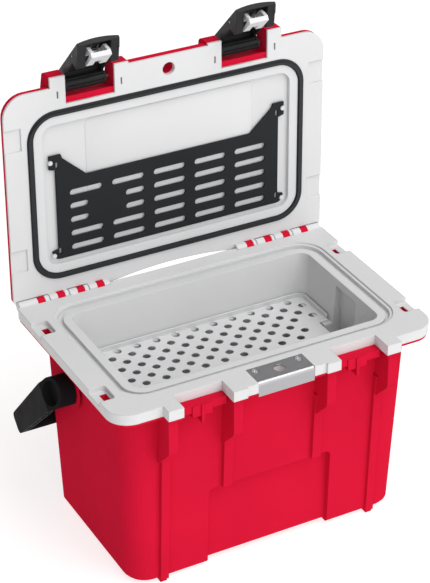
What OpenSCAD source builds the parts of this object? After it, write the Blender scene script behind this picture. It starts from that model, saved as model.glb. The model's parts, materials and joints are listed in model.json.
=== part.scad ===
// Hard-sided personal cooler with a bail handle, shown with its lid open.
// Every part is drawn in the rim frame: X = 0 on the middle plane, Y = 0 on the front edge
// of the rim, Z = 0 on the top of the rim. Lid parts are drawn closed, latch parts latched.
// on_floor(), lid_up() and latch_up() then move them to the open pose.

/* [Rim and lid] */
// Width of the rim over its straight sides
rim_w = 430; // [424:1:432]
// Depth of the rim from the front edge to the back edge
rim_d = 280.6; // [280:0.1:281]
// Height of the rim top above the floor
rim_h = 274; // [266:1:290]
// Thickness of the rim flange
flange_t = 13.5; // [12:0.5:15]
// Height of the closed lid above the rim
lid_h = 45; // [43:1:47]
// Width of the lid over its straight sides
lid_w = 432; // [430:1:434]

/* [Tub] */
// Width of the opening at the rim
mouth_w = 332; // [326:1:334]
// Level of the ledge that carries the tray, below the rim
ledge_z = 66.5; // [60:0.5:70]
// Level of the inside floor, below the rim
floor_z = 237; // [220:1:238]
// Wall thickness of shell and liner
wall = 3; // [2.5:0.1:3.2]

/* [Latches] */
// Distance of each latch from the middle plane
latch_x = 104; // [103.5:0.1:104.5]
// Width of a latch
latch_w = 54; // [50:1:58]
// How far the latches stand open
latch_open = 45; // [0:1:60]

/* [Handle] */
// Length of the handle arms from the pivot to the outside of the bar
arm_len = 148; // [147:0.5:152]
// Thickness of the bar in the direction of the arms
bar_t = 14; // [12:0.5:14]
// Thickness of each arm
arm_t = 9.5; // [9:0.5:12]
// Angle below the horizontal at which the handle rests
arm_drop = 45; // [42:1:48]

/* [Tray] */
// Width of the tray
tray_w = 320; // [312:1:320]
// Diameter of the tray holes
hole_d = 10; // [6:0.5:10.5]

/* [Hidden] */

gap_half = 86;                        // half width of the finger gap between the hinges
gap = 0.3;           // clearance between nested mouldings
fit = 0.05;          // radial clearance of a running fit
red = [0.80, 0.07, 0.17];
white = [0.85, 0.85, 0.85];
black = [0.07, 0.07, 0.07];
charcoal = [0.13, 0.14, 0.15];
steel = [0.55, 0.55, 0.56];
silver = [0.78, 0.79, 0.80];
foam = [0.93, 0.90, 0.78];

// rim outline
half = rim_w/2;
lid_half = lid_w/2;
corner_r = 28;
back_r = 9;                           // small corners beside the hinge
tab_y = -13.4;                        // front of the four tabs
mid_y = -10.3;                        // front of the middle section
tab_in = [53.2, 71.9];                // inner tabs, in |x|
tab_out = [135.8, 155.4];             // outer tabs, in |x|
notch_y = 15.5;                       // back of the latch notches
lid_notch_y = 23.3;                   // back of the notches in the lid's liner
notch_wall = 10.5;                    // thickness of the lid shell behind a notch
lip_t = 4;                            // lip of the shell under the flange

// hinge
hinge_y = 280.3;
hinge_z = -2.2;
y_centre = (tab_y + hinge_y - hinge_z + lid_h)/2;     // middle of the open cooler, front to back
knuckle_r = 6.3;
knuckle_clear_r = 7;
hinge_pin_r = 2.5;
body_knuckles = [[119, 144.5], [172, 212]];
lid_knuckles = [[90, 118], [145.5, 171]];
band_w = 10;                          // red band in the middle of each knuckle
band_pitch = 26.65;
band_first = 105.75;                  // centre of the innermost band, in |x|
band_shift = 3.25;                    // both rows of bands sit this far to the right

// mouth and seal
mouth_y = [49, 235];
mouth_r = 14;
step_half = 187.3;
step_y = [31.5, 258];
step_z = -2.5;
seal_ledge_w = 4;                     // ledge outside the channel, on which the seal rests
seal_ledge_z = -2.2;
channel_z = -7;                       // bottom of the channel round the ridge
ridge_half = 177;
ridge_y = [38.5, 245];
gasket_half = 187.9;
gasket_y = [28.6, 256.2];
gasket_lobe_y = [32.2, 255];          // the soft lobe that goes into the channel
gasket_w = 8;

// tub walls below the rim
under_half = 161.5;
under_y = [51, 231.5];
low_half = 149.5;
low_y = [58.5, 225.5];
base_half = 143;
base_y = [64, 220];
pocket_y = [107, 155];                // finger pocket in the right-hand wall
pocket_x = 172;
pocket_low = -82;

// outer shell: half width, front, back, front and back corner radius at a level
shell_top = [194, 20, 246, 30, 11];
shell_low = [184.1, 31.1, 241, 28, 10];
shell_base = [180.6, 34.6, 237.5, 25, 8];
shell_low_z = -266;
shell_base_z = -270;
runner_x = [140.6, 149.3];
runner_y = [29.6, 236];
runner_z = -274;

// sunk panel in the middle of the front wall
panel_half = 84;
panel_top = -157;
panel_y = 37;
panel_r = 7;
panel_low = -264.5;                   // where the panel turns under the base
sill_y = 50;
sill_top = -258;

// tie-down slots in the four corners of the rim
tie_y = [[42.4, 71.8], [204.5, 234.6]];
tie_in = 195;
tie_depth = 6;
tie_r = 4;                            // corner radius of the slots
tie_hole = [197, 206];
tie_hole_y = [6.8, 21.8];             // measured from the front of the slot

// padlock plate
plate_half = 37.5;
plate_y = 22;
plate_t = 2;
plate_low = -19;
lock_y = 7.5;
lock_r = 7;
lock_boss_r = 11;                     // boss round the padlock hole in the lid
collar_z = 6.5;                       // top of the liner's collar in that hole
screw_x = 29;
screw_y = 14.5;
screw_r = 2.5;
screw_head_r = 4.4;

// latch, in the plane of the side view
pivot_y = 8;
pivot_z = 19;
barrel_r = 8;
latch_pin_r = 3;
latch_pin_x = [63, 146];
catch_pin_y = -6.5;
catch_pin_z = -35;
catch_pin_r = 1.5;
face_r = 123;                         // radius of the crowned latch face
face_y = -13.5;

// handle
arm_y = 168;
arm_z = -59;
arm_in = 217.5;                       // inside face of each arm, in |x|
hub_r = 20;
boss_x = 197;                         // face of the pad that the hub turns against
boss_pad_r = 27;
boss_r = 12;
boss_end = 206;
boss_back = 186;                      // inner end of pad and boss, in the foam
handle_screw_r = 4;
recess_x = 211;                       // floor of the round recess over the screw
slope_end = [216.5, -20];             // front of the sloping face round the pivot
slope_start = 16;                     // where that face leaves the arm
cap_r = 15.4;
bar_w = 28.5;

// tray
tray_y = [52.5, 230];
tray_t = 2;
tray_rim = 6.5;
hole_pitch_x = 26.9;
hole_pitch_y = 13.4;
hole_rows = 13;
hole_back = 222.4;                    // centre of the last row

// rack: levels are measured forward from the hinge axis
rack_z = [1.5, 4];
peg_x = 159;
peg_level = [56, 183];

// ---------------------------------------------------------------- poses
module on_floor() translate([0, -y_centre, rim_h]) children();
module about(y, z, a) translate([0, y, z]) rotate([a, 0, 0]) translate([0, -y, -z]) children();
module lid_up() on_floor() about(hinge_y, hinge_z, -90) children();
module latch_up() lid_up() about(pivot_y, pivot_z, -latch_open) children();
module arm_down() on_floor() translate([0, arm_y, arm_z]) rotate([-arm_drop, 0, 0]) children();

// ---------------------------------------------------------------- shapes
// Rounded slab, symmetric in x: half width, front, back, bottom, top, corner radius, and the
// radius of the back corners where that is another one
module slab(h, y0, y1, z0, z1, r, rb = 0) {
    b = rb > 0 ? rb : r;
    translate([-h, y0 + r, z0]) cube([2*h, y1 - y0 - r - b, z1 - z0]);
    translate([-h + r, y0, z0]) cube([2*h - 2*r, y1 - y0 - b, z1 - z0]);
    translate([-h + b, y0 + r, z0]) cube([2*h - 2*b, y1 - y0 - r, z1 - z0]);
    for (x = [-1, 1], q = [[y0 + r, r], [y1 - b, b]])
        translate([x*(h - q[1]), q[0], z0]) cylinder(r = q[1], h = z1 - z0, $fn = 64);
}
// The same slab, thin and coarse, as one layer of a hull: a fifth value is the radius at the back
module layer(p, z, d = 0) {
    front_r = max(p[3] - d, 3);
    back_r = max((len(p) > 4 ? p[4] : p[3]) - d, 3);
    for (x = [-1, 1], q = [[p[1] + d + front_r, front_r], [p[2] - d - back_r, back_r]])
        translate([x*(p[0] - d - q[1]), q[0], z]) cylinder(r = q[1], h = 0.01, $fn = 32);
}
// Box between two corners
module box(a, b) translate(a) cube(b - a);
// Box on both sides of the middle plane
module boxes(x, y, z) for (s = [0, 1])
    mirror([s, 0, 0]) box([x[0], y[0], z[0]], [x[1], y[1], z[1]]);
// Rod along x
module rod(x, y, z, r, fn = 48) translate([x[0], y, z])
    rotate([0, 90, 0]) cylinder(r = r, h = x[1] - x[0], $fn = fn);
// Side-view outline of [y, z] points, as wide as x says
module side(x, points) translate([x[0], 0, 0])
    rotate([90, 0, 90]) linear_extrude(x[1] - x[0]) polygon(points);

// Outline that rim and lid share: four tabs, two latch notches and the middle section
module outline(h, z0, z1, d = 0) {
    difference() {
        union() {
            slab(h - d, d, rim_d - d, z0, z1, corner_r - d, back_r - d);
            for (t = [tab_in, tab_out]) boxes([t[0] + d, t[1] - d], [tab_y + d, 40], [z0, z1]);
            box([-tab_in[0] - 1, mid_y + d, z0], [tab_in[0] + 1, 40, z1]);
        }
        boxes([tab_in[1] - d, tab_out[0] + d], [-40, notch_y + d], [z0 - 1, z1 + 1]);
    }
}
// Corner cut for a tie-down, at all four places
module tie_cuts(z0) for (y = tie_y) {
    boxes([tie_in, 250], [y[0] + tie_r, y[1] - tie_r], [z0, 1]);
    boxes([tie_in + tie_r, 250], y, [z0, 1]);
    for (x = [-1, 1], v = [y[0] + tie_r, y[1] - tie_r])
        translate([x*(tie_in + tie_r), v, z0]) cylinder(r = tie_r, h = 1 - z0, $fn = 32);
}
module tie_holes(z0, z1) for (y = tie_y) boxes(tie_hole, [for (t = tie_hole_y) y[0] + t], [z0, z1]);
// Shallow arc cut into a back edge between the hinges
module hinge_arc(depth, z) {
    curve = [for (k = [-8 : 8]) [k*gap_half/8, rim_d - depth*(1 - k*k/64)]];
    translate([0, 0, z[0]]) linear_extrude(z[1] - z[0])
        polygon(concat(curve, [[gap_half, rim_d + 20], [-gap_half, rim_d + 20]]));
}

module knuckles(spans) for (s = [0, 1], k = spans) mirror([s, 0, 0]) rod(k, hinge_y, hinge_z, knuckle_r);
module knuckle_clearance(spans) for (s = [0, 1], k = spans)
    mirror([s, 0, 0]) rod([k[0] - 0.5, k[1] + 0.5], hinge_y, hinge_z, knuckle_clear_r);
module pin_bores(r) for (s = [0, 1]) mirror([s, 0, 0]) rod([80, 208], hinge_y, hinge_z, r, 32);
// Middle of each band, for k = 0 and 2 on the lid and k = 1 and 3 on the body
function bands(first) = [for (s = [-1, 1], k = [first, first + 2])
    s*(band_first + k*band_pitch) + band_shift];
module band_cuts(first, y, z) for (x = bands(first))
    box([x - band_w/2, y[0], z[0]], [x + band_w/2, y[1], z[1]]);
module band_rings(first) for (x = bands(first))
    rod([x - band_w/2, x + band_w/2], hinge_y, hinge_z, knuckle_r);

// ---------------------------------------------------------------- body
module shell_outer() hull() {
    layer(shell_top, -flange_t - 1);
    layer(shell_low, shell_low_z);
    layer(shell_base, shell_base_z);
}
module shell_cavity(d) hull() {
    layer(shell_top, -flange_t + 0.1, d);
    layer(shell_low, shell_low_z + 1, d);
    layer(shell_base, shell_base_z + d, d);
}
// Gusset under a tab, then a rib down the front wall, in side view
gusset_r = 14;
gusset_toe = [for (a = [0 : 9 : 45]) [-8 + gusset_r*(1 - cos(a)), -58 - gusset_r*sin(a)]];
gusset = concat([[-8, -flange_t - 1]], gusset_toe, [[16, -87.8], [30, -96], [30, -flange_t - 1]]);
rib = [[14, -60], [17.5, -84], [27.4, shell_base_z], [40, shell_base_z], [40, -60]];
short_rib = [[14, -60], [17.5, -84], [21.2, panel_top], [40, panel_top], [40, -60]];

module strike(x) translate([x, 0, 0]) {
    side([-32, 32], [[4, -24.6], [4, -13.6], [24, -13.6], [26, -24.6]]);
    side([-13, 13], [[2.5, -30], [2.5, -15], [24, -15], [26, -30]]);
    side([-2, 2], [[0.5, -39], [0.5, -15], [24, -15], [26, -39]]);
}
module body_shell() color(red) on_floor() difference() {
    union() {
        difference() {
            union() {
                shell_outer();
                outline(half, -flange_t - lip_t, -flange_t, 1.5);
            }
            shell_cavity(wall);
        }
        intersection() {
            shell_outer();
            panel_backing(0);
        }
        for (s = [0, 1]) mirror([s, 0, 0]) {
            for (x = [[141, 153.5], [56.5, 69]]) intersection() {
                side(x, gusset);
                box([0, -20, -100], [200, 22.5, 0]);
            }
            side([139, 150], rib_cut(rib));
            side([55, 67.5], rib_cut(short_rib));
            box([runner_x[0], runner_y[0], runner_z],
                [runner_x[1], runner_y[1], shell_base_z + wall - 0.2]);
            strike(latch_x);
        }
        band_cuts(1, [274, hinge_y + knuckle_r], [-flange_t - lip_t, hinge_z]);
        band_rings(1);
    }
    panel_recess();
    hinge_arc(1.5, [-30, 0]);
    pin_bores(hinge_pin_r);
    tie_holes(-30, 0);
    translate([0, lock_y, -30]) cylinder(r = lock_r + 0.5, h = 40, $fn = 48);
    box([-plate_half - 0.2, mid_y - 1, plate_low - 1], [plate_half + 0.2, mid_y + plate_t + 0.2, 0]);
}
// Sunk panel with rounded top corners, open at the bottom
module panel_recess() {
    box([-panel_half, 20, panel_low], [panel_half, panel_y, panel_top - panel_r]);
    box([-panel_half + panel_r, 20, panel_low], [panel_half - panel_r, panel_y, panel_top]);
    for (x = [-1, 1]) translate([x*(panel_half - panel_r), 20, panel_top - panel_r])
        rotate([-90, 0, 0]) cylinder(r = panel_r, h = panel_y - 20, $fn = 48);
    side([-panel_half, panel_half],
        [[20, panel_low], [panel_y, panel_low], [panel_y + 10, -271], [20, -271]]);
}
// Thickness of the shell behind the panel
module panel_backing(d) {
    edge = panel_half + wall + d;
    box([-edge, 0, shell_base_z - d], [edge, panel_y + wall + d, panel_top + wall + d]);
    box([-edge, 0, shell_base_z - d], [edge, sill_y + d, sill_top + d]);
}
// Rib outlines stop inside the thickness of the front wall
function rib_cut(p) = [for (q = p) [q[0] == 40 ? 21.5 + (-q[1])*0.0425 : q[0], q[1]]];

// Raised pad and bearing boss that a handle hub turns on
module handle_boss() on_floor() {
    difference() {
        union() {
            rod([boss_back, boss_x], arm_y, arm_z, boss_pad_r, 64);
            rod([boss_back, boss_end], arm_y, arm_z, boss_r, 64);
        }
        rod([boss_x - 1, 240], arm_y, arm_z, handle_screw_r, 32);
        inside_of_wall();
    }
}
// Everything on the inner side of the sloping side wall of the shell
module inside_of_wall() translate([shell_top[0] + 0.05, 0, -flange_t - 1])
    rotate([0, -atan2(shell_top[0] - shell_low[0], -shell_low_z - flange_t - 1), 0])
        translate([-60, 0, -300]) cube([60, 300, 330]);
module handle_boss_left() color(red) mirror([1, 0, 0]) handle_boss();
module handle_boss_right() color(red) handle_boss();

function wider(h, y, d, r) = [h + d, y[0] - d, y[1] + d, r];
module liner_outer(d = 0) {
    hull() {
        layer(wider(mouth_w/2, mouth_y, wall + d, mouth_r + wall), -1);
        layer(wider(under_half, under_y, wall + d, mouth_r + wall), -ledge_z - wall - d);
    }
    hull() {
        layer(wider(low_half, low_y, wall + d, mouth_r + wall), -ledge_z);
        layer(wider(base_half, base_y, wall + d, mouth_r), -floor_z - wall - d);
    }
    box([150, pocket_y[0] - wall - d, pocket_low - wall - d],
        [pocket_x + wall + d, pocket_y[1] + wall + d, -5]);
}
module tub_space() {
    hull() {
        layer([mouth_w/2, mouth_y[0], mouth_y[1], mouth_r], 0.1);
        layer([under_half, under_y[0], under_y[1], mouth_r], -ledge_z);
    }
    hull() {
        layer([low_half, low_y[0], low_y[1], mouth_r], -ledge_z + 0.5);
        layer([base_half, base_y[0], base_y[1], mouth_r], -floor_z + 5);
        layer([base_half, base_y[0], base_y[1], mouth_r], -floor_z, 5);
    }
    box([140, pocket_y[0], pocket_low], [pocket_x, pocket_y[1], -12.6]);
}
module body_insulation() color(foam) on_floor() difference() {
    shell_cavity(wall + gap);
    liner_outer(gap);
    panel_backing(gap);
    for (s = [0, 1]) mirror([s, 0, 0]) box([70, 0, -40], [138, 26.5, 0]);
    box([-250, -20, -flange_t - gap], [250, 300, 10]);
}
module body_liner() color(white) on_floor() difference() {
    union() {
        outline(half, -flange_t, 0);
        liner_outer();
        difference() {
            knuckles(body_knuckles);
            band_cuts(1, [270, 290], [-20, 10]);
        }
        for (s = [0, 1], k = body_knuckles)
            mirror([s, 0, 0]) box([k[0], 270, -8.5], [k[1], hinge_y, -0.05]);
    }
    tub_space();
    difference() {
        union() {
            slab(step_half, step_y[0], step_y[1], seal_ledge_z, 1, 36);
            slab(step_half - seal_ledge_w, step_y[0] + seal_ledge_w, step_y[1] - seal_ledge_w,
                 channel_z, 1, 36 - seal_ledge_w);
        }
        slab(ridge_half, ridge_y[0], ridge_y[1], channel_z - 1, step_z, 26);
    }
    band_cuts(1, [273.9, 290], [-20, 10]);
    knuckle_clearance(lid_knuckles);
    pin_bores(hinge_pin_r);
    hinge_arc(1.5, [-20, 1]);
    tie_cuts(-tie_depth);
    tie_holes(-20, 0);
    translate([0, lock_y, -30]) cylinder(r = lock_r + 0.5, h = 40, $fn = 48);
    box([-plate_half - 0.1, mid_y - 1, -plate_t], [plate_half + 0.1, plate_y + 0.1, 1]);
    box([-plate_half - 0.1, mid_y - 1, -20], [plate_half + 0.1, mid_y + plate_t, 1]);
    box([-plate_half - 0.1, mid_y - 1, -5], [plate_half + 0.1, mid_y + 5, 1]);
    for (x = [-screw_x, screw_x]) translate([x, screw_y, -12]) cylinder(r = screw_r, h = 14, $fn = 32);
}
module lock_plate() color(steel) on_floor() difference() {
    union() {
        box([-plate_half, mid_y + 5, -plate_t], [plate_half, plate_y, 0]);
        box([-plate_half, mid_y, plate_low], [plate_half, mid_y + plate_t, -5]);
        intersection() {
            difference() {
                rod([-plate_half, plate_half], mid_y + 5, -5, 5, 64);
                rod([-plate_half - 1, plate_half + 1], mid_y + 5, -5, 5 - plate_t, 64);
            }
            box([-50, mid_y - 1, -5], [50, mid_y + 5, 1]);
        }
    }
    translate([0, lock_y, -10]) cylinder(r = lock_r, h = 20, $fn = 48);
    for (x = [-screw_x, screw_x]) translate([x, screw_y, 0]) {
        translate([0, 0, -10]) cylinder(r = screw_r + 0.2, h = 20, $fn = 32);
        translate([0, 0, -1.2]) cylinder(r = screw_head_r + gap, h = 2, $fn = 32);
    }
}
module lock_plate_screws() color(silver) on_floor() for (x = [-screw_x, screw_x])
    translate([x, screw_y, 0]) difference() {
        union() {
            translate([0, 0, -12]) cylinder(r = screw_r, h = 11.5, $fn = 32);
            translate([0, 0, -1.2]) cylinder(r = screw_head_r, h = 1.2, $fn = 32);
        }
        translate([0, 0, -0.9]) cylinder(r = 1.6, h = 2, $fn = 6);
    }
module hinge_pin() on_floor() rod([91, 207.5], hinge_y, hinge_z, hinge_pin_r, 32);
module hinge_pin_left() color(steel) mirror([1, 0, 0]) hinge_pin();
module hinge_pin_right() color(steel) hinge_pin();

// ---------------------------------------------------------------- handle
module handle_screw() on_floor() {
    rod([boss_x, recess_x + 2], arm_y, arm_z, handle_screw_r, 32);
    rod([recess_x + 1.9, recess_x + 4], arm_y, arm_z, 7, 32);
}
module handle_screw_left() color(silver) mirror([1, 0, 0]) handle_screw();
module handle_screw_right() color(silver) handle_screw();
module handle_washer() on_floor() difference() {
    rod([recess_x + 0.3, recess_x + 1.9], arm_y, arm_z, 10, 32);
    rod([recess_x, recess_x + 3], arm_y, arm_z, handle_screw_r, 32);
}
module handle_washer_left() color(silver) mirror([1, 0, 0]) handle_washer();
module handle_washer_right() color(silver) handle_washer();

// One arm, lying along +y from the pivot
end_low = [for (a = [-90 : 30 : 0]) [arm_len + bar_t/2*(cos(a) - 1), bar_t/2*(1 + sin(a)) - bar_w/2]];
end_high = [for (a = [0 : 30 : 90]) [arm_len + bar_t/2*(cos(a) - 1), bar_w/2 - bar_t/2*(1 - sin(a))]];
module arm() difference() {
    union() {
        rod([boss_x + 0.4, arm_in + arm_t], 0, 0, hub_r, 64);
        translate([arm_in, 0, 0]) rotate([90, 0, 90]) linear_extrude(arm_t)
            polygon(concat([[0, -hub_r + 1.5]], end_low, end_high, [[0, hub_r - 0.4]]));
    }
    translate([0, 0, -30]) linear_extrude(60) polygon([[arm_in + arm_t, slope_start], slope_end,
        [slope_end[0], -30], [240, -30], [240, slope_start]]);
    rod([boss_x - 1, boss_end + 0.5], 0, 0, boss_r + fit, 64);
    rod([boss_end, 240], 0, 0, handle_screw_r + fit, 32);
    rod([recess_x, 240], 0, 0, cap_r + 0.1, 64);
    for (k = [0 : 4]) box([arm_in + 3, 24 + 21*k, -30], [arm_in + arm_t - 2.5, 42 + 21*k, -7]);
}
module handle_bail() color(black) arm_down() {
    for (s = [0, 1]) mirror([s, 0, 0]) arm();
    box([-arm_in - 1, arm_len - bar_t, -bar_w/2 + bar_t/2], [arm_in + 1, arm_len, bar_w/2 - bar_t/2]);
    for (z = [-bar_w/2 + bar_t/2, bar_w/2 - bar_t/2])
        rod([-arm_in - 1, arm_in + 1], arm_len - bar_t/2, z, bar_t/2, 48);
}
// Dished disc that closes the screw recess
module handle_cap() arm_down() translate([recess_x + 4.2, 0, 0]) rotate([0, 90, 0]) rotate_extrude($fn = 64)
    polygon([[0, 0], [cap_r, 0], [cap_r, 2.4], [cap_r - 1, 2.4], [12, 1.7], [8, 1.2], [0, 1]]);
module handle_cap_left() color(black) mirror([1, 0, 0]) handle_cap();
module handle_cap_right() color(black) handle_cap();

// ---------------------------------------------------------------- tray
// Columns of the even rows start in the middle, the odd rows are shifted by half a pitch
function tray_row(n) = n % 2 == 0 ? [-5 : 5] : [-5.5 : 5.5];
module dry_tray() color(white) on_floor() difference() {
    union() {
        slab(tray_w/2, tray_y[0], tray_y[1], -ledge_z, -ledge_z + tray_t, mouth_r - 2);
        difference() {
            slab(tray_w/2, tray_y[0], tray_y[1], -ledge_z, -ledge_z + tray_t + tray_rim, mouth_r - 2);
            slab(tray_w/2 - 2, tray_y[0] + 2, tray_y[1] - 2, -ledge_z, -ledge_z + 20, mouth_r - 4);
            box([135, 97, -ledge_z + tray_t], [165, 165, 0]);
        }
    }
    box([146, 100, -ledge_z - 1], [165, 162, 0]);
    for (n = [0 : hole_rows - 1], k = tray_row(n)) {
        x = k*hole_pitch_x;
        y = hole_back - n*hole_pitch_y;
        if (x < 133 || y > 170 || y < 92)
            translate([x, y, -ledge_z - 1]) cylinder(d = hole_d, h = 20, $fn = 24);
    }
}

// ---------------------------------------------------------------- lid
module lid_hull(z0, z1, d, back = back_r) hull() {
    layer([lid_half, 0, rim_d, corner_r, back], z0, d);
    layer([lid_half, 0, rim_d, corner_r, back], 9, d);
    layer([lid_half - 27, 27, rim_d - 27, 22], min(z1, 40), d);
    layer([lid_half - 34, 34, rim_d - 34, 18], z1, d);
}
// Ear beside a latch, in side view
ear_top = [for (a = [0 : 22.5 : 90]) [tab_y + 8*(1 - cos(a)), 17.5 + 8*sin(a)]];
ear = concat([[tab_y, 3.5]], ear_top, [[21.8, 33.2], [8, 9], [8, 3.5]]);
// Thick middle of the front edge, which the padlock hole goes through, in side view
mid_block = [[mid_y, 3.5], [mid_y, 12], [mid_y + 3.5, 15.6], [6, 15.6], [8, 8.4], [8, 3.5]];
// Notch behind a latch, in side view
pocket = [[-40, 0], [notch_y, 0], [notch_y, 3.5], [26.5, 39], [26.5, 60], [-40, 60]];
pocket_wall = [[-40, 3.5], [notch_y + notch_wall, 3.5], [31, 39], [31, 60], [-40, 60]];
module lid_shell() color(red) lid_up() difference() {
    union() {
        difference() {
            lid_hull(3.5, lid_h, 0);
            lid_hull(3.4, lid_h - wall, 8.5, corner_r);
        }
        intersection() {
            lid_hull(3.5, lid_h, 0);
            for (s = [0, 1]) mirror([s, 0, 0]) side([tab_in[1] - 3, tab_out[0] + 3], pocket_wall);
        }
        for (s = [0, 1], t = [tab_in, tab_out]) mirror([s, 0, 0]) side(t, ear);
        side([-tab_in[0] - 1, tab_in[0] + 1], mid_block);
        intersection() {
            lid_hull(3.5, lid_h, 0);
            translate([0, lock_y, 3.5]) cylinder(r = lock_boss_r, h = 40, $fn = 48);
        }
        band_cuts(0, [274, 280], [hinge_z, 8.4]);
        band_rings(0);
    }
    for (s = [0, 1]) mirror([s, 0, 0]) side([tab_in[1], tab_out[0]], pocket);
    for (s = [0, 1]) mirror([s, 0, 0]) rod(latch_pin_x, pivot_y, pivot_z, latch_pin_r, 32);
    pin_slots(pivot_z);
    translate([0, lock_y, -30]) cylinder(r = lock_r + 0.5, h = 80, $fn = 48);
    translate([0, lock_y, 0]) cylinder(r = lock_boss_r + gap, h = collar_z, $fn = 48);
    hinge_arc(7, [-1, 60]);
    pin_bores(hinge_pin_r + fit);
    for (s = [0, 1], k = body_knuckles) mirror([s, 0, 0])
        rod([k[0] - 0.5, k[1] + 0.5], hinge_y, hinge_z, knuckle_clear_r);
    tie_cuts_lid();
}
// Slots through which the ends of the latch pins are seen from below
module pin_slots(z) for (s = [0, 1], x = latch_pin_x)
    mirror([s, 0, 0]) box([x - 1, 5.3, 0], [x + 1, 14.3, z]);
// Hollows in the lid's sides above the tie-downs
module tie_cuts_lid() for (y = tie_y) boxes([195, 250], y, [-1, 2.5]);

module lid_insulation() color(foam) lid_up() difference() {
    lid_hull(9.2, lid_h - wall - gap, 8.5 + gap, corner_r);
    for (s = [0, 1]) mirror([s, 0, 0])
        side([tab_in[1] - 3 - gap, tab_out[0] + 3 + gap], [for (p = pocket_wall) p + [gap, 0]]);
    translate([0, lock_y, 0]) cylinder(r = lock_boss_r + gap, h = 60, $fn = 48);
    box([-300, -50, 0], [300, 300, 9]);
}
module lid_liner() color(white) lid_up() difference() {
    union() {
        outline(lid_half, 0.5, 3.5);
        slab(lid_half - 9.5, 9.5, rim_d - 9.5, 3.4, 6, 19);
        slab(171, 45, 240, 5, 8.5, 17);
        translate([0, lock_y, 3]) cylinder(r = lock_boss_r, h = collar_z - 3, $fn = 48);
        difference() {
            knuckles(lid_knuckles);
            band_cuts(0, [270, 290], [-20, 10]);
            box([-300, 200, 3.5], [300, 290, 10]);
        }
    }
    for (s = [0, 1]) mirror([s, 0, 0]) side([tab_in[1] - 3 - gap, tab_out[0] + 3 + gap],
        [[0, 3.5], [notch_y + notch_wall + 0.4, 3.5], [notch_y + notch_wall + 1.4, 10], [0, 10]]);
    boxes([tab_in[1], tab_out[0]], [0, lid_notch_y], [0, 3.5]);
    slab(168, 48, 237, 0, 5.5, 15);
    gasket_ring(0, gasket_y, [0.2, 3]);
    band_cuts(0, [273.9, 290], [-20, 12]);
    knuckle_clearance(body_knuckles);
    pin_bores(hinge_pin_r + fit);
    tie_cuts_lid();
    pin_slots(10);
    translate([0, lock_y, -1]) cylinder(r = lock_r + 1.2, h = 20, $fn = 48);
    translate([0, lock_y, collar_z]) cylinder(r = lock_boss_r + gap, h = 20, $fn = 48);
    hinge_arc(7, [-20, 20]);
    for (s = [0, 1], v = peg_level) mirror([s, 0, 0])
        translate([peg_x, hinge_y - v, 4.9]) cylinder(r = 1.5, h = 10, $fn = 24);
}
module gasket_ring(inset, y, z) difference() {
    slab(gasket_half - inset, y[0], y[1], z[0], z[1], 37 - inset);
    slab(gasket_half - gasket_w + inset, gasket_y[0] + gasket_w - inset, gasket_y[1] - gasket_w + inset,
         z[0] - 1, z[1] + 1, 29 + inset);
}
module lid_gasket() color(black) lid_up() {
    gasket_ring(0, gasket_y, [0.2, 3]);
    gasket_ring(1.2, gasket_lobe_y, [-1.8, 0.3]);
}
module rack_pegs() color(white) lid_up() for (s = [0, 1], v = peg_level) mirror([s, 0, 0])
    translate([peg_x, hinge_y - v, 0]) {
        translate([0, 0, 0.6]) cylinder(r = 3, h = 4.9, $fn = 32);
        translate([0, 0, 5.4]) cylinder(r = 1.5, h = 3, $fn = 24);
    }
// Half of the rack's outline, as [x, level]
rack_corner = [for (a = [0 : 15 : 90]) [151 + 10*sin(a), 60 - 10*cos(a)]];
rack_half = concat([[0, 50]], rack_corner, [[161, 62], [153, 64], [153, 172], [161, 174], [161, 192],
                   [145, 192], [143, 186], [112, 158], [0, 158]]);
module rack_slot(x0, x1, v) {
    box([x0 + 4, hinge_y - v - 4, 0], [x1 - 4, hinge_y - v + 4, 6]);
    for (x = [x0 + 4, x1 - 4]) translate([x, hinge_y - v, 0]) cylinder(r = 4, h = 6, $fn = 24);
}
module lid_rack() color(charcoal) lid_up() difference() {
    for (s = [0, 1]) mirror([s, 0, 0]) translate([0, hinge_y, rack_z[0]]) mirror([0, 1, 0])
        linear_extrude(rack_z[1] - rack_z[0]) polygon(rack_half);
    for (v = [62, 81, 99.7, 118.5, 137], k = [0 : 4]) {
        x0 = -135 + 56.5*k;
        short = (v > 90 && v < 130) ? k : 9;
        if (short == 0) rack_slot(x0, x0 + 24, v);
        else if (short == 1) rack_slot(x0 + 18, x0 + 43, v);
        else rack_slot(x0, x0 + 43, v);
    }
    for (s = [0, 1], v = peg_level) mirror([s, 0, 0]) translate([0, hinge_y - v, 0]) {
        translate([peg_x, 0, 0]) cylinder(r = 3.4, h = 6, $fn = 32);
        box([peg_x, -2.4, 0], [peg_x + 5, 2.4, 6]);
    }
    for (s = [0, 1], v = [61, 178]) mirror([s, 0, 0])
        box([149, hinge_y - v - 4, 0], [152, hinge_y - v + 4, 6]);
}

// ---------------------------------------------------------------- latches
module latch_pin() lid_up() rod(latch_pin_x, pivot_y, pivot_z, latch_pin_r, 32);
module latch_pin_left() color(steel) mirror([1, 0, 0]) latch_pin();
module latch_pin_right() color(steel) latch_pin();

cheek = [[-14, -63], [-7, -63], [1, -54], [1, 12], [4, 20], [8, 27], [0, 27], [-9, 23], [-14, 15]];
rail = [[-14, -63], [-7, -63], [11, -39], [11, -36], [0, -31], [-14, -31]];
wrap = [[-14, -63], [-10, -63], [-10, 14], [-6.5, 20], [1, 23.8],
        [8, 24], [8, 27], [0, 27], [-9, 23], [-14, 15]];
tip = [[-14, -63], [-7, -63], [-7, -60.5], [-14, -60.5]];
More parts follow.
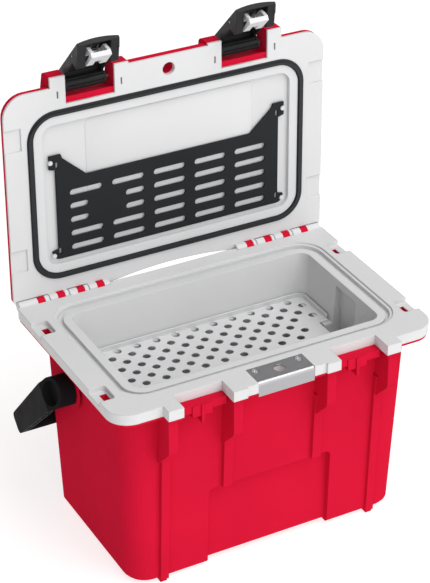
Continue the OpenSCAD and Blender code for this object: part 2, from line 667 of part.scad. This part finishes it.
// Span in x about a latch: distance from its middle, and half width
function across(x, h) = [latch_x + x - h, latch_x + x + h];
module latch_cover() latch_up() difference() {
    intersection() {
        union() {
            side([latch_x - latch_w/2, latch_x + latch_w/2], wrap);
            side([latch_x - latch_w/2, latch_x + latch_w/2], tip);
            for (s = [-1, 1]) {
                side(across(s*(latch_w/2 - 1.5), 1.5), cheek);
                side(across(s*(latch_w/2 - 5.5), 5.5), rail);
            }
            rod([latch_x - latch_w/2, latch_x + latch_w/2], pivot_y, pivot_z, barrel_r, 64);
        }
        translate([latch_x, face_y + face_r, -100]) cylinder(r = face_r, h = 200, $fn = 180);
    }
    rod([latch_x - 40, latch_x + 40], pivot_y, pivot_z, latch_pin_r + fit, 32);
    for (a = [-104, -54]) translate([0, pivot_y, pivot_z]) rotate([a, 0, 0])
        box([latch_x - 24, 5.8, -1.1], [latch_x + 24, 9, 1.1]);
    rod([latch_x - 40, latch_x + 40], catch_pin_y, catch_pin_z, catch_pin_r, 24);
    box([latch_x - 11.5, -20, -33.5], [latch_x + 11.5, -9, -12.8]);
    box([latch_x - 13.5, catch_pin_y - 4, catch_pin_z - 4.5], [latch_x + 13.5, 0, catch_pin_z + 4.5]);
}
module latch_cover_left() color(black) mirror([1, 0, 0]) latch_cover();
module latch_cover_right() color(black) latch_cover();

module catch_pin() latch_up() rod(across(0, latch_w/2 - 0.6), catch_pin_y, catch_pin_z, catch_pin_r, 24);
module catch_pin_left() color(steel) mirror([1, 0, 0]) catch_pin();
module catch_pin_right() color(steel) catch_pin();

// Push pad above the pin, hook below it
catch_arm = [[-7.6, -34], [-3.5, -34], [-3.5, -48], [4.6, -53], [4.6, -42],
             [9, -42], [9, -58], [3, -59.5], [-7.6, -52]];
catch_leg = [[-10.5, -32], [-10.5, -28], [-6, -33], [-6, -35]];
module catch() latch_up() difference() {
    union() {
        side(across(0, 11), [[-13.3, -32], [-13.3, -14.4], [-10, -14.4], [-10, -32]]);
        for (s = [-1, 1]) {
            side(across(s*9, 2), catch_leg);
            side(across(s*10.75, 2.25), catch_arm);
            side(across(s*8.5, 4.5), [[4.6, -58], [4.6, -32], [9, -34], [9, -58]]);
            rod(across(s*10, 3), catch_pin_y, catch_pin_z, 3.4, 32);
        }
        side(across(0, 13), [[3, -59.5], [4.6, -44], [9, -44], [9, -58]]);
    }
    rod([latch_x - 40, latch_x + 40], catch_pin_y, catch_pin_z, catch_pin_r + fit, 24);
}
module catch_left() color(silver) mirror([1, 0, 0]) catch();
module catch_right() color(silver) catch();

// Torsion spring on the catch pin: a coiled sleeve with one leg on the cover
module catch_spring() latch_up() difference() {
    union() {
        rod([latch_x - 5.5, latch_x + 5.5], catch_pin_y, catch_pin_z, 2.6, 32);
        box([latch_x - 5.5, -9.3, catch_pin_z - 14], [latch_x - 4.3, -8.1, catch_pin_z - 1]);
        box([latch_x + 4.3, -9.3, catch_pin_z - 14], [latch_x + 5.5, -8.1, catch_pin_z - 1]);
    }
    rod([latch_x - 10, latch_x + 10], catch_pin_y, catch_pin_z, catch_pin_r + fit, 24);
}
module catch_spring_left() color(steel) mirror([1, 0, 0]) catch_spring();
module catch_spring_right() color(steel) catch_spring();

body_shell();
body_insulation();
body_liner();
lock_plate();
lock_plate_screws();
hinge_pin_left();
hinge_pin_right();
handle_boss_left();
handle_boss_right();
handle_screw_left();
handle_screw_right();
handle_washer_left();
handle_washer_right();
handle_bail();
handle_cap_left();
handle_cap_right();
dry_tray();
lid_shell();
lid_insulation();
lid_liner();
lid_gasket();
rack_pegs();
lid_rack();
latch_pin_left();
latch_pin_right();
latch_cover_left();
latch_cover_right();
catch_pin_left();
catch_pin_right();
catch_left();
catch_right();
catch_spring_left();
catch_spring_right();
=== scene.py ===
"""Looks of the hard-sided cooler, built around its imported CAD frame.

Every length is in metres and every piece lies in the frame's own coordinates: X runs to the
right, Y to the back, and Z up from the floor. MM turns the millimetres of the design into metres.
"""

import json
import math

import bmesh
import bpy
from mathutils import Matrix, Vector


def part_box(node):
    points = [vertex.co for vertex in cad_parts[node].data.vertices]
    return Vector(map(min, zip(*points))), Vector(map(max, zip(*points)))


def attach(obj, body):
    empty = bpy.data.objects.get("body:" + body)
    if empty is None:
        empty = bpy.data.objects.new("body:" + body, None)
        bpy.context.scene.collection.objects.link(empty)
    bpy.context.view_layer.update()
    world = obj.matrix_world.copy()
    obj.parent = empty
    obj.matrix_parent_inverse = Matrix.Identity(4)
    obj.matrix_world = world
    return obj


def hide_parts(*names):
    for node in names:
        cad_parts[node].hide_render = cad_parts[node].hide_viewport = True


MM = 0.001

# camera: lens in millimetres, shift as a share of the frame, place, turn in degrees
LENS = 130.67
LENS_SHIFT = (-0.0917, -0.0741)
CAMERA_PLACE = (-1.0361, -1.9469, 1.6142)
CAMERA_TURN = (60.361, -0.450, -29.312)

FLOOR_HALF = 14          # half width of the floor
WORLD_STRENGTH = 0.31
LIT_POINT = (0, 0, 0.28)  # what both lamps aim at

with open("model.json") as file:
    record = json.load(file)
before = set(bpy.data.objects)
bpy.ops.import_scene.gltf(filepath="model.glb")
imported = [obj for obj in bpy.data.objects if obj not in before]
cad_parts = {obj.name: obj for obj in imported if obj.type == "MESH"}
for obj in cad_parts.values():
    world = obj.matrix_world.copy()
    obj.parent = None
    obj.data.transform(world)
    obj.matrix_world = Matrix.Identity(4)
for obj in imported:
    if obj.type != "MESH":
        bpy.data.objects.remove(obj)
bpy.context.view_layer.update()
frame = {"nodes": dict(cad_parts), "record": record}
scene = bpy.context.scene


# ---------------------------------------------------------------- camera, floor and light
def add_camera():
    data = bpy.data.cameras.new("camera")
    data.lens = LENS
    data.shift_x, data.shift_y = LENS_SHIFT
    camera = bpy.data.objects.new("camera", data)
    camera.location = CAMERA_PLACE
    camera.rotation_euler = [math.radians(a) for a in CAMERA_TURN]
    scene.collection.objects.link(camera)
    scene.camera = camera


def add_area_light(name, place, aim, size, power):
    data = bpy.data.lights.new(name, "AREA")
    data.shape = "RECTANGLE"
    data.size, data.size_y = size
    data.energy = power
    light = bpy.data.objects.new(name, data)
    light.location = place
    light.rotation_euler = (Vector(aim) - Vector(place)).to_track_quat("-Z", "Y").to_euler()
    scene.collection.objects.link(light)


def add_stage():
    mesh = bpy.data.meshes.new("floor")
    signs = [(-1, -1), (1, -1), (1, 1), (-1, 1)]
    corners = [(x * FLOOR_HALF, y * FLOOR_HALF, 0) for x, y in signs]
    mesh.from_pydata(corners, [], [(0, 1, 2, 3)])
    floor = bpy.data.objects.new("floor", mesh)
    scene.collection.objects.link(floor)
    mesh.materials.append(floor_material())

    world = bpy.data.worlds.new("studio")
    world.use_nodes = True
    background = world.node_tree.nodes["Background"]
    background.inputs["Color"].default_value = (1, 1, 1, 1)
    background.inputs["Strength"].default_value = WORLD_STRENGTH
    scene.world = world

    add_area_light("key", (0.2, -3.4, 1.8), LIT_POINT, (6.0, 4.0), 101)
    add_area_light("overhead", (0.7, -0.9, 2.8), LIT_POINT, (2.2, 2.2), 54)
    scene.view_settings.view_transform = "Standard"


# ---------------------------------------------------------------- materials
def new_material(name):
    made = bpy.data.materials.new(name)
    made.use_nodes = True
    nodes = made.node_tree.nodes
    shader = nodes["Principled BSDF"]
    return made, nodes, made.node_tree.links, shader


def noise(nodes, links, coords, scale, detail=2.0):
    made = nodes.new("ShaderNodeTexNoise")
    made.inputs["Scale"].default_value = scale
    made.inputs["Detail"].default_value = detail
    links.new(coords, made.inputs["Vector"])
    return made.outputs["Fac"]


def spread(nodes, links, value, low, high, reach=(0.3, 0.7)):
    """Maps a noise value to the span from low to high."""
    made = nodes.new("ShaderNodeMapRange")
    made.inputs["From Min"].default_value = reach[0]
    made.inputs["From Max"].default_value = reach[1]
    made.inputs["To Min"].default_value = low
    made.inputs["To Max"].default_value = high
    links.new(value, made.inputs["Value"])
    return made.outputs["Result"]


def tinted(nodes, links, value, dark, light):
    made = nodes.new("ShaderNodeMix")
    made.data_type = "RGBA"
    made.inputs["A"].default_value = (*dark, 1)
    made.inputs["B"].default_value = (*light, 1)
    links.new(value, made.inputs["Factor"])
    return made.outputs["Result"]


def bumped(nodes, links, heights, shader, edge=0.0):
    """Chains one bump node for each (value, distance, strength) over softened edges."""
    before = None
    if edge > 0:
        soft = nodes.new("ShaderNodeBevel")
        soft.samples = 6
        soft.inputs["Radius"].default_value = edge
        before = soft.outputs["Normal"]
    for value, distance, strength in heights:
        made = nodes.new("ShaderNodeBump")
        made.inputs["Distance"].default_value = distance
        made.inputs["Strength"].default_value = strength
        links.new(value, made.inputs["Height"])
        if before is not None:
            links.new(before, made.inputs["Normal"])
        before = made.outputs["Normal"]
    links.new(before, shader.inputs["Normal"])


def plastic(name, colour, roughness, grain, depth, swing=0.04, ior=1.45, edge=0.0008):
    """Moulded plastic: an etched grain, faint flow marks in the colour and a rubbed gloss."""
    made, nodes, links, shader = new_material(name)
    coords = nodes.new("ShaderNodeTexCoord").outputs["Object"]
    flow = noise(nodes, links, coords, 9, 3)
    rub = noise(nodes, links, coords, 42, 4)
    etch = noise(nodes, links, coords, 1 / grain, 3)
    speckle = noise(nodes, links, coords, 0.45 / grain, 2)
    dark = [c * (1 - swing) for c in colour]
    light = [min(1, c * (1 + swing)) for c in colour]
    tint = tinted(nodes, links, spread(nodes, links, flow, 0, 1), dark, light)
    gloss = spread(nodes, links, rub, roughness - 0.05, roughness + 0.06)
    links.new(tint, shader.inputs["Base Color"])
    links.new(gloss, shader.inputs["Roughness"])
    bumped(nodes, links, [(etch, depth, 0.6), (speckle, depth * 1.6, 0.35)], shader, edge)
    shader.inputs["IOR"].default_value = ior
    return made


def floor_material():
    made, nodes, links, shader = new_material("floor_paper")
    coords = nodes.new("ShaderNodeTexCoord").outputs["Object"]
    cloud = noise(nodes, links, coords, 1.2, 2)
    tint = tinted(nodes, links, cloud, (0.48, 0.48, 0.485), (0.51, 0.51, 0.51))
    links.new(tint, shader.inputs["Base Color"])
    shader.inputs["Emission Color"].default_value = (1, 1, 1, 1)
    shader.inputs["Emission Strength"].default_value = 0.72
    shader.inputs["Roughness"].default_value = 0.9
    shader.inputs["Specular IOR Level"].default_value = 0.1
    return made


def rubber(name, colour):
    """Moulded rubber with a fine matt grain."""
    made, nodes, links, shader = new_material(name)
    coords = nodes.new("ShaderNodeTexCoord").outputs["Object"]
    fine = noise(nodes, links, coords, 900, 3)
    haze = noise(nodes, links, coords, 26, 3)
    light = [c * 1.5 for c in colour]
    tint = tinted(nodes, links, spread(nodes, links, haze, 0, 1), colour, light)
    links.new(tint, shader.inputs["Base Color"])
    links.new(spread(nodes, links, haze, 0.46, 0.62), shader.inputs["Roughness"])
    bumped(nodes, links, [(fine, 0.00008, 0.5)], shader, 0.0008)
    shader.inputs["Specular IOR Level"].default_value = 0.35
    return made


def brushed(name, colour, roughness, along=0, stretch=60):
    """Rolled and brushed steel with its scratches along one axis."""
    made, nodes, links, shader = new_material(name)
    coords = nodes.new("ShaderNodeTexCoord").outputs["Object"]
    mapping = nodes.new("ShaderNodeMapping")
    scale = [1.0, 1.0, 1.0]
    scale[along] = 1 / stretch
    mapping.inputs["Scale"].default_value = scale
    links.new(coords, mapping.inputs["Vector"])
    hair = noise(nodes, links, mapping.outputs["Vector"], 2600, 3)
    cloud = noise(nodes, links, coords, 60, 3)
    dark = [c * 0.86 for c in colour]
    tint = tinted(nodes, links, spread(nodes, links, hair, 0, 1), dark, colour)
    gloss = spread(nodes, links, cloud, roughness - 0.06, roughness + 0.07)
    links.new(tint, shader.inputs["Base Color"])
    links.new(gloss, shader.inputs["Roughness"])
    bumped(nodes, links, [(hair, 0.00004, 0.35)], shader, 0.0004)
    shader.inputs["Metallic"].default_value = 1.0
    return made


# plastic: name, colour, roughness, grain size and depth in metres, colour swing, index, edge radius
RED = plastic("red_moulding", (0.560, 0.0085, 0.0330), 0.52, 0.0007, 0.00007, 0.05, 1.02, 0.0012)
WHITE = plastic("white_moulding", (0.62, 0.62, 0.625), 0.46, 0.0007, 0.00006, 0.02, 1.30, 0.0014)
BLACK = plastic("black_moulding", (0.011, 0.011, 0.012), 0.42, 0.0006, 0.00008, 0.12, 1.06)
LATCH = plastic("latch_moulding", (0.022, 0.022, 0.023), 0.40, 0.0006, 0.00008, 0.10, 1.20)
CHARCOAL = plastic("charcoal_moulding", (0.017, 0.018, 0.020), 0.50, 0.0008, 0.00010, 0.10, 1.20)
CATCH = plastic("grey_moulding", (0.62, 0.62, 0.63), 0.40, 0.0006, 0.00005, 0.03, 1.40, 0.0006)
SEAL = rubber("seal_rubber", (0.010, 0.011, 0.013))
PLATE = brushed("plate_steel", (0.42, 0.42, 0.43), 0.34)
PIN = brushed("pin_steel", (0.60, 0.60, 0.62), 0.25)
SCREW = brushed("screw_steel", (0.66, 0.66, 0.68), 0.28, stretch=6)
FOAM = plastic("foam_filling", (0.86, 0.80, 0.62), 0.85, 0.0016, 0.00030, 0.06)


# ---------------------------------------------------------------- mesh helpers
def add_object(name, mesh, material):
    made = bpy.data.objects.new(name, mesh)
    scene.collection.objects.link(made)
    mesh.materials.clear()
    mesh.materials.append(material)
    return made


def smooth(mesh, angle=35):
    mesh.polygons.foreach_set("use_smooth", [True] * len(mesh.polygons))
    mesh.set_sharp_from_angle(angle=math.radians(angle))


def join_loops(work, first, second):
    """Closes the band between two loops with the same number of corners."""
    count = len(first)
    for i in range(count):
        j = (i + 1) % count
        work.faces.new((first[i], first[j], second[j], second[i]))


def finished_mesh(name, work):
    bmesh.ops.recalc_face_normals(work, faces=work.faces)
    mesh = bpy.data.meshes.new(name)
    work.to_mesh(mesh)
    work.free()
    return mesh


def moulded(node, body, material, radius, steps=2, angle=25):
    """A CAD piece with its sharp edges rounded to a radius, as a moulding has them."""
    mesh = frame["nodes"][node].data.copy()
    work = bmesh.new()
    work.from_mesh(mesh)
    bmesh.ops.remove_doubles(work, verts=work.verts, dist=1e-6)
    bmesh.ops.dissolve_limit(work, angle_limit=math.radians(1), verts=work.verts, edges=work.edges)
    sharp = [
        e for e in work.edges
        if len(e.link_faces) == 2 and e.calc_face_angle(0) > math.radians(angle)
    ]
    bmesh.ops.bevel(
        work, geom=sharp, offset=radius, offset_type="OFFSET", segments=steps, profile=0.5,
        affect="EDGES", clamp_overlap=False, loop_slide=True, miter_outer="ARC",
    )
    work.to_mesh(mesh)
    work.free()
    if mesh.has_custom_normals:
        mesh.attributes.remove(mesh.attributes["custom_normal"])
    made = add_object(node + "_moulding", mesh, material)
    smooth(mesh)
    made.modifiers.new("flat_faces", "WEIGHTED_NORMAL").keep_sharp = True
    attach(made, body)
    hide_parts(node)
    return made


def lid_pad(material):
    """Plain raised pad with rounded corners on the inside of the lid, behind the rack."""
    half_width, top, bottom, corner = 0.114, 0.5015, 0.355, 0.010
    shift = 0.003        # the pad sits this far to the right
    arc_steps = 8        # straight pieces in each rounded corner
    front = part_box("lid_rack")[1][1] + 0.0009
    outline = []
    for x, z, start in [
        (half_width - corner, top - corner, 0), (corner - half_width, top - corner, 90),
        (corner - half_width, bottom + corner, 180), (half_width - corner, bottom + corner, 270),
    ]:
        for step in range(arc_steps + 1):
            turn = math.radians(start + 90 * step / arc_steps)
            outline.append((x, z, math.cos(turn), math.sin(turn)))
    # depth behind the front, inset: sunk into the panel, edge, chamfered front
    rings = [(0.0015, 0.0), (0.0005, 0.0), (0.0, 0.0008)]
    work = bmesh.new()
    loops = []
    for depth, inset in rings:
        loops.append([
            work.verts.new((
                shift + x + (corner - inset) * c, front + depth, z + (corner - inset) * s,
            ))
            for x, z, c, s in outline
        ])
    for first, second in zip(loops, loops[1:]):
        join_loops(work, first, second)
    work.faces.new(loops[0])
    work.faces.new(loops[-1])
    made = add_object("lid_pad", finished_mesh("lid_pad", work), material)
    smooth(made.data)
    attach(made, "lid")


def strap_sleeves(material):
    """Red sleeves of the shell that line the strap holes under the four tie-down slots."""
    half_x, half_y, wall = 0.00445, 0.00745, 0.0006
    top, bottom = 0.2670, 0.2610
    work = bmesh.new()
    for mount in frame["record"]["mounts"]:
        if not mount["name"].startswith("tie_down"):
            continue
        x, y = mount["pos_m"][:2]
        loops = []
        for inset, z in [(0, bottom), (0, top), (wall, top), (wall, bottom)]:
            wide, deep = half_x - inset, half_y - inset
            loops.append([
                work.verts.new((x + sx * wide, y + sy * deep, z))
                for sx, sy in [(-1, -1), (1, -1), (1, 1), (-1, 1)]
            ])
        for first, second in zip(loops, loops[1:] + loops[:1]):
            join_loops(work, first, second)
    made = add_object("strap_sleeves", finished_mesh("strap_sleeves", work), material)
    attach(made, "body")


# ---------------------------------------------------------------- build
add_camera()
add_stage()

# node, body, material slot, material, edge radius in millimetres
MOULDED = [
    ("lock_plate", "body", "plate_steel", PLATE, 0.5),
    ("lock_plate_screws", "body", "pin_steel", SCREW, 0.25),
    ("dry_tray", "tray", "white_plastic", WHITE, 0.5),
    ("lid_rack", "rack", "charcoal_plastic", CHARCOAL, 0.6),
    ("rack_pegs", "lid", "white_plastic", WHITE, 0.6),
]
for side in ("left", "right"):
    MOULDED += [
        ("latch_cover_" + side, "latch_" + side, "black_plastic", LATCH, 0.6),
        ("catch_" + side, "catch_" + side, "catch_plastic", CATCH, 0.4),
        ("handle_cap_" + side, "handle", "black_plastic", BLACK, 0.5),
    ]
for node, body, slot, material, radius in MOULDED:
    moulded(node, body, material, radius * MM)

lid_pad(WHITE)
strap_sleeves(RED)

LOOKS = {
    "red_plastic": RED, "white_plastic": WHITE, "black_plastic": BLACK,
    "charcoal_plastic": CHARCOAL, "catch_plastic": CATCH, "seal_rubber": SEAL,
    "plate_steel": PLATE, "pin_steel": PIN, "foam": FOAM,
}
slot_of = {p["node"]: p["material_slot"] for p in frame["record"]["subparts"]}
for name, node in frame["nodes"].items():
    node.data.materials.clear()
    look = LATCH if name.startswith("latch_cover") else LOOKS[slot_of[name]]
    node.data.materials.append(look)
